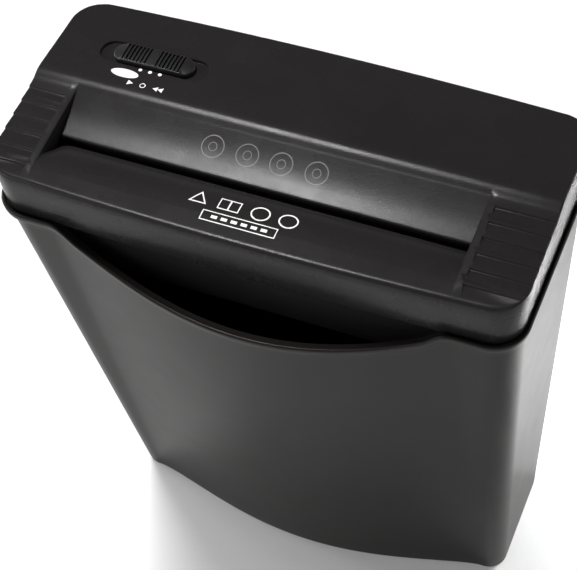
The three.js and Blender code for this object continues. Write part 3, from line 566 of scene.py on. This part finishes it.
def bin_shell():
    side = spaced(-49, 46, 18)
    where = round_points(BIN_TOP, side, [], 16, 120)
    n = len(where)
    half, r = BIN_TOP["half"], BIN_TOP["radius"]

    def point(k, z, inset):
        t = z / RIM
        size = [BIN_FOOT[key] + (BIN_TOP[key] - BIN_FOOT[key]) * t for key in BIN_TOP]
        kind, value = where[k]
        if kind in ("front", "back"):
            value = value / (half - r) * (size[0] - size[3])
        if kind in ("left", "right"):
            v = (value - side[0]) / (side[-1] - side[0])
            value = size[1] + size[3] + v * (size[2] - size[1] - 2 * size[3])
        x, y = edge_point(kind, value, *size, inset)
        if y < (size[1] + size[2]) / 2:
            return x, y - bulge(x), z
        return x, y + BACK_BOW * max(0.0, 1 - (x / 200) ** 2), z
    sections = []
    for k in range(n):
        x, y, _ = point(k, RIM, 0)
        sections.append(bin_section(x, y < -50))
    count = len(sections[0])
    verts, faces = [], []
    for j in range(count):
        verts += [point(k, *sections[k][j]) for k in range(n)]
    for j in range(count - 1):
        faces += strip(n, j * n, (j + 1) * n)

    for j in (0, count - 1):                        # the flat underside and the flat inside of the base
        z = verts[j * n][2]
        outline = [(x, y) for x, y, _ in verts[j * n:(j + 1) * n]]
        flat, flat_faces, rims = surface([outline], [], lambda x, y: z)
        table = {index: j * n + k for k, index in enumerate(rims[0])}
        for index, v in enumerate(flat):
            if index not in table:
                table[index] = len(verts)
                verts.append(v)
        faces += [tuple(table[i] for i in f) for f in flat_faces]
    return make("bin_shell", verts, faces, "bin_body", BIN, ("bin",), 40)


bin_shell()


# ---------------------------------------------------------------- the mode switch

def knob_height(x, y):
    """Height of the knob's top: a crowned pad with grooves, and a lower step at each end of it."""
    dx = abs(x - SWITCH[0])
    crown = KNOB_TOP - 0.25 * ((y - SWITCH[1]) / KNOB_RADIUS) ** 2
    if dx > KNOB_PAD:
        return crown - 0.75 - 0.5 * smooth(KNOB_PAD, 22, dx)
    for i in range(GROOVE_COUNT):
        start = GROOVE_FIRST + GROOVE_PITCH * i
        if start <= dx <= start + GROOVE_WIDTH:
            edge = min(dx - start, start + GROOVE_WIDTH - dx)
            return crown - (GROOVE_DEPTH if edge > 0.15 else 0.12)
    return crown


def groove_lines(reach_round):
    """Lines across the knob at each side of every groove, up to its rounded outline."""
    cx, cy = SWITCH
    lines = []
    for side in (-1, 1):
        for i in range(GROOVE_COUNT):
            for d in (0.0, 0.2, GROOVE_WIDTH - 0.2, GROOVE_WIDTH):
                x = cx + side * (GROOVE_FIRST + GROOVE_PITCH * i + d)
                reach = reach_round
                outside = abs(x - cx) - (KNOB_HALF - KNOB_RADIUS)
                if outside > 0:
                    reach = math.sqrt(max(0.0, reach_round ** 2 - outside ** 2))
                lines.append([(x, cy - reach + 0.001), (x, cy - reach / 2), (x, cy), (x, cy + reach / 2),
                              (x, cy + reach - 0.001)])
    return lines


def mode_knob():
    cx, cy = SWITCH
    rings = [stadium(KNOB_HALF - inset, KNOB_RADIUS - inset, 16) for inset in (0.5, 0.32, 0.12, 0.0)]
    n = len(rings[0])
    verts, faces, rims = surface([rings[0]], groove_lines(KNOB_RADIUS - 0.5), knob_height)
    edge = [knob_height(x, y) for x, y in rings[0]]
    layers = [[(x, y, z - drop) for (x, y), z in zip(ring, edge)]
              for ring, drop in zip(rings[1:], (0.06, 0.22, 0.5))]
    layers.append([(x, y, KNOB_FOOT) for x, y in rings[-1]])
    previous = rims[0]
    for layer in layers:
        now = range(len(verts), len(verts) + n)
        verts += layer
        faces += bridge(previous, now)
        previous = now

    # The underside, round the stem that reaches down to the switch.
    half, depth, tip = KNOB_STEM
    stem = [(cx - half, cy - depth), (cx + half, cy - depth), (cx + half, cy + depth), (cx - half, cy + depth)]
    foot, foot_faces, foot_rims = surface([rings[-1], stem], [], lambda x, y: KNOB_FOOT)
    offset = len(verts)
    verts += foot
    faces += [tuple(i + offset for i in f) for f in foot_faces]
    low = range(len(verts), len(verts) + 4)
    verts += [(x, y, tip) for x, y in stem]
    faces += bridge([i + offset for i in foot_rims[1]], low)
    faces.append(tuple(low))
    return make("mode_switch_cap", verts, faces, "mode_knob_body", KNOB,
                ("mode_switch_knob",), 30)


mode_knob()


# ---------------------------------------------------------------- printed marks

def divided(loop, pieces=9):
    """The loop with long sides cut into equal lengths, so that it follows a curved face."""
    if len(loop) > 8:
        return loop
    points = []
    for (xa, ya), (xb, yb) in zip(loop, loop[1:] + loop[:1]):
        points += [(xa + (xb - xa) * i / pieces, ya + (yb - ya) * i / pieces) for i in range(pieces)]
    return points


def mark(name, shapes, material):
    """Thin printed shapes on the cover: each is a list of outer points and, for a ring, one of inner points."""
    verts, faces = [], []
    for outer, inner in shapes:
        outer, inner = divided(outer), inner and divided(inner)
        n = len(outer)
        for loop in (outer, inner) if inner else (outer,):
            for lift in (0.05, -0.12):
                verts += [(x, y, cover_height(x, y) + lift) for x, y in loop]
        base = len(verts) - (4 if inner else 2) * n
        top, low = base, base + n
        faces += strip(n, top, low)
        if inner:
            in_top, in_low = base + 2 * n, base + 3 * n
            faces += strip(n, in_top, top) + strip(n, low, in_low) + strip(n, in_low, in_top)
        else:
            faces.append(tuple(range(top, top + n)))
            faces.append(tuple(range(low, low + n)))
    return make(name, verts, faces, "head_body", material, (), 40)


def disc(x, y, rx, ry=None, n=28):
    ry = ry or rx
    angles = [2 * math.pi * i / n for i in range(n)]
    return [(x + rx * math.cos(t), y + ry * math.sin(t)) for t in angles]


def bar(xa, ya, xb, yb, width):
    """A straight stroke between two points."""
    dx, dy = xb - xa, yb - ya
    k = width / 2 / math.hypot(dx, dy)
    nx, ny = -dy * k, dx * k
    return [(xa + nx, ya + ny), (xa - nx, ya - ny), (xb - nx, yb - ny), (xb + nx, yb + ny)]


def hollow(points, width):
    """The same outline, and one inside it by about the width."""
    cx = sum(p[0] for p in points) / len(points)
    cy = sum(p[1] for p in points) / len(points)
    inner = []
    for x, y in points:
        d = math.hypot(x - cx, y - cy)
        inner.append((x - (x - cx) * width / d, y - (y - cy) * width / d))
    return points, inner


def frame_of(x0, y0, x1, y1, width):
    """A rectangle between two corners, and the one inside it by the width."""
    return [[(xa, ya), (xb, ya), (xb, yb), (xa, yb)]
            for xa, ya, xb, yb in ((x0, y0, x1, y1), (x0 + width, y0 + width, x1 - width, y1 - width))]


mark("switch_marks", [
    (disc(-88.4, 17.8, 1.0), None), (disc(-82.9, 17.8, 1.0), None), (disc(-77.4, 17.8, 1.0), None),
    (disc(-95.0, 13.1, 7.6, 2.9, 40), None),
    ([(-90.8, 6.1), (-87.8, 7.7), (-90.8, 9.3)], None),
    hollow(disc(-82.4, 7.8, 1.6), 0.45),
    ([(-76.8, 7.7), (-74.0, 6.1), (-74.0, 9.3)], None), ([(-74.0, 7.7), (-71.2, 6.1), (-71.2, 9.3)], None),
], PRINT)
SLOPE_RINGS = (-35.1, -16.5, 1.6, 20.3)
mark("slope_rings", [hollow(disc(x, -13.1, 6.0, 5.6, 40), 0.42) for x in SLOPE_RINGS]
     + [hollow(disc(x, -13.1, 2.3, 2.3, 28), 0.3) for x in SLOPE_RINGS], FAINT)
mark("deck_marks", [
    hollow([(-32.5, -48.6), (-23.1, -48.6), (-27.8, -41.2)], 1.3),
    frame_of(-17.3, -49.0, -11.6, -42.2, 0.55), frame_of(-11.9, -49.0, -6.2, -42.2, 0.55),
    hollow(disc(4.4, -45.6, 5.0, 4.4, 36), 0.75), hollow(disc(18.9, -45.6, 5.0, 4.4, 36), 0.75),
    frame_of(-23.1, -57.6, 16.2, -51.6, 0.5),
] + [(bar(-17.8 + 5.2 * i, -54.6, -14.6 + 5.2 * i, -54.6, 1.7), None) for i in range(6)], PRINT)

# ---------------------------------------------------------------- CAD nodes that stay

NODE_SLOTS = {part["node"]: part["material_slot"] for part in frame["record"]["subparts"]}
REPLACED = {"head_cover", "bin", "mode_switch_knob"}
for node, obj in frame["nodes"].items():
    if node in REPLACED:
        continue
    # The paper guides take the near-black painted shade of the slot instead of their own finish.
    finish = GUIDE_PAINTED_SHADE if node.endswith("_paper_guide") else SLOTS[NODE_SLOTS[node]]
    if not obj.material_slots:
        obj.data.materials.append(finish)
    for s in obj.material_slots:
        s.material = finish


# ---------------------------------------------------------------- floor, light and camera

# The photograph's camera: where it stands, its two directions, and its width of view in degrees.
CAMERA_PLACE = (277.4, -541.1, 1008.4)
CAMERA_RIGHT = (0.92252815, 0.3785031, -0.07534734)
CAMERA_FORWARD = (-0.28586116, 0.53900916, -0.79230835)
CAMERA_WIDTH = 17.808


def backdrop():
    bm = bmesh.new()
    bmesh.ops.create_grid(bm, x_segments=8, y_segments=8, size=7.0)
    mesh = bpy.data.meshes.new("floor")
    bm.to_mesh(mesh)
    bm.free()
    floor = bpy.data.objects.new("floor", mesh)
    bpy.context.scene.collection.objects.link(floor)
    paper = plastic("floor_paper", (0.86, 0.86, 0.86), 0.8, grain=0.1, scale=300.0, mottle=0.01)
    mesh.materials.append(paper)


def area(name, place, target, size, power, colour=(1, 1, 1)):
    data = bpy.data.lights.new(name, "AREA")
    data.shape = "RECTANGLE"
    data.size, data.size_y = size
    data.energy = power
    data.color = colour
    lamp = bpy.data.objects.new(name, data)
    bpy.context.scene.collection.objects.link(lamp)
    lamp.location = place
    lamp.rotation_euler = (Vector(target) - Vector(place)).to_track_quat("-Z", "Y").to_euler()
    return lamp


def world():
    w = bpy.data.worlds.new("studio")
    bpy.context.scene.world = w
    w.use_nodes = True
    nodes, links = w.node_tree.nodes, w.node_tree.links
    place = nodes.new("ShaderNodeTexCoord")
    split = nodes.new("ShaderNodeSeparateXYZ")
    ramp = nodes.new("ShaderNodeValToRGB")
    links.new(place.outputs["Generated"], split.inputs[0])
    links.new(split.outputs["Z"], ramp.inputs["Fac"])
    ramp.color_ramp.elements[0].position = 0.12
    ramp.color_ramp.elements[0].color = (0.9, 0.9, 0.9, 1)
    ramp.color_ramp.elements[1].position = 0.42
    ramp.color_ramp.elements[1].color = (0.05, 0.05, 0.05, 1)
    links.new(ramp.outputs["Color"], nodes["Background"].inputs["Color"])
    nodes["Background"].inputs["Strength"].default_value = 1.0


def camera():
    data = bpy.data.cameras.new("camera")
    eye = Vector(CAMERA_PLACE) * MM
    right, forward = Vector(CAMERA_RIGHT), Vector(CAMERA_FORWARD)
    up = right.cross(forward)
    cam = bpy.data.objects.new("camera", data)
    bpy.context.scene.collection.objects.link(cam)
    turn = Matrix((right, up, -forward)).transposed()
    cam.matrix_world = Matrix.Translation(eye) @ turn.to_4x4()
    data.sensor_fit = "HORIZONTAL"
    data.angle = math.radians(CAMERA_WIDTH)
    data.clip_start, data.clip_end = 0.02, 50
    bpy.context.scene.camera = cam


backdrop()
world()
camera()
bpy.context.scene.view_settings.view_transform = "Standard"
area("overhead", (-0.5, 0.13, 1.85), (0, 0, 0.33), (0.34, 0.14), 27)
area("front_left", (-1.9, -1.5, 1.4), (-0.4, -0.2, 0.0), (1.4, 1.4), 30)
area("front_right", (1.5, -1.9, 1.4), (0, -0.3, 0.0), (1.4, 1.4), 6)
area("left", (-2.0, 0.3, 0.9), (-0.5, 0.1, 0.0), (1.0, 1.0), 20)
area("back_right", (2.0, 1.7, 1.2), (0, 0, 0.1), (1.4, 1.4), 22)
pool = area("right_low", (0.5, 0.36, 0.5), (0.24, 0.17, 0.0), (0.16, 0.16), 0.8)
pool.data.spread = math.radians(36)
